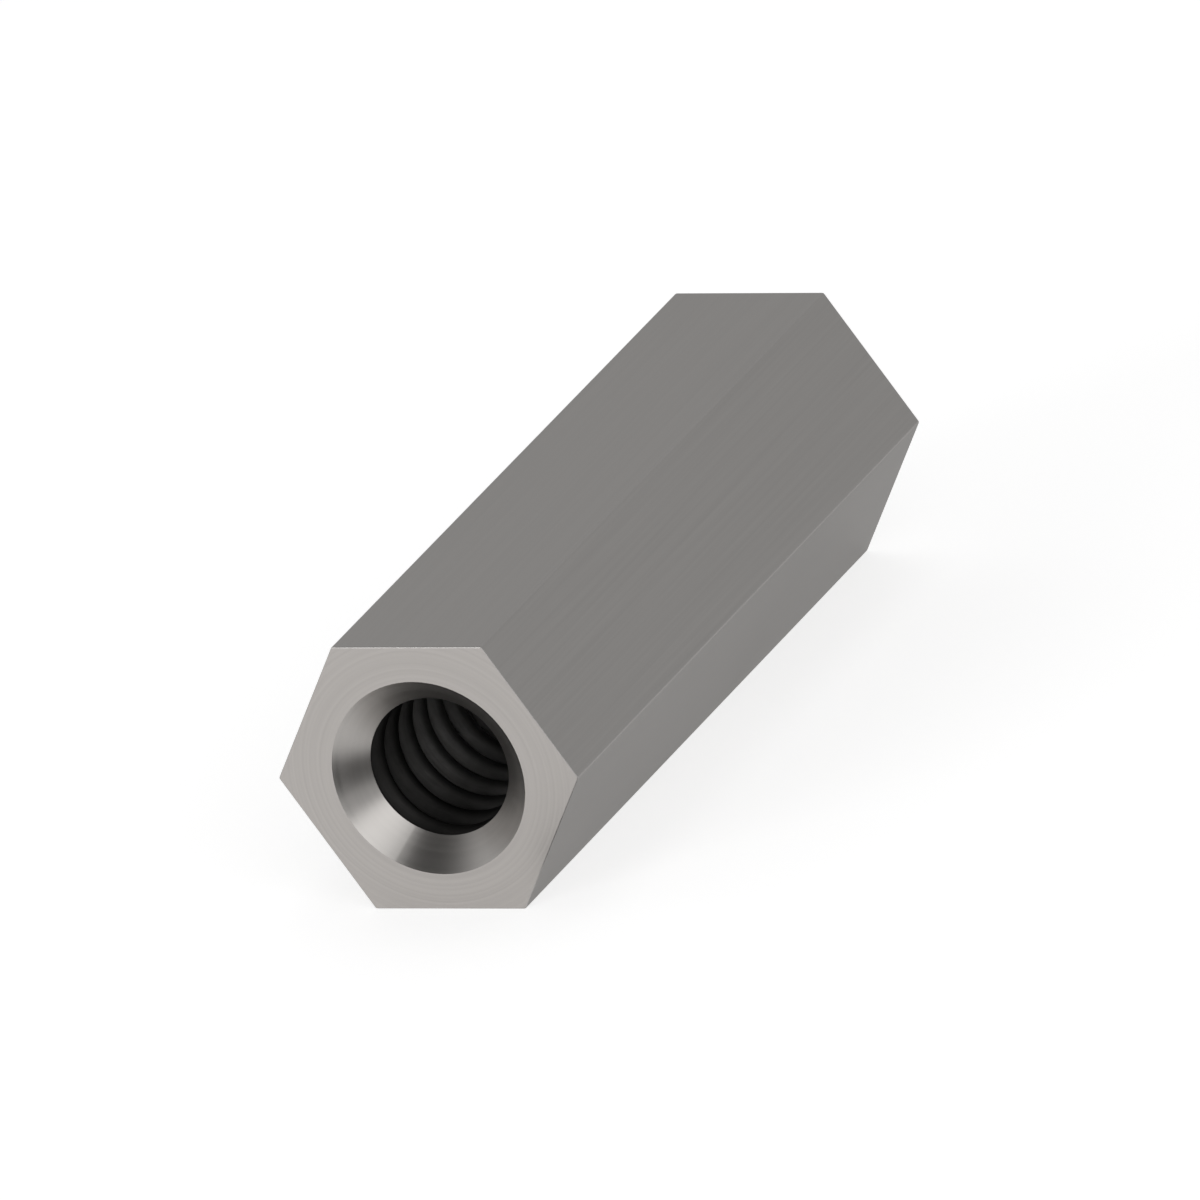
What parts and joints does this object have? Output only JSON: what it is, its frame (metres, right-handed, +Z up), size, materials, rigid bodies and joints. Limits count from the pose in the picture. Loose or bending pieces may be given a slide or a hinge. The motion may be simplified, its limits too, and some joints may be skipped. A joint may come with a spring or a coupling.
{
  "type": "hex spacer",
  "caption": "Hexagonal metal spacer with a tapped hole right through it and a countersink at each end, lying on one of its flats.",
  "frame": {"origin": "on the hole's axis, half way between the two end faces", "axes": "+Z up with the spacer lying on a flat, Y along the hole with the near end facing -Y, X across two corners of the hexagon"},
  "size_m": [0.011, 0.0312, 0.0096],
  "materials": {
    "steel": "satin, bare drawn bar with turned ends"
  },
  "bodies": {
    "root": {"hex_spacer": "steel"}
  },
  "joints": []
}
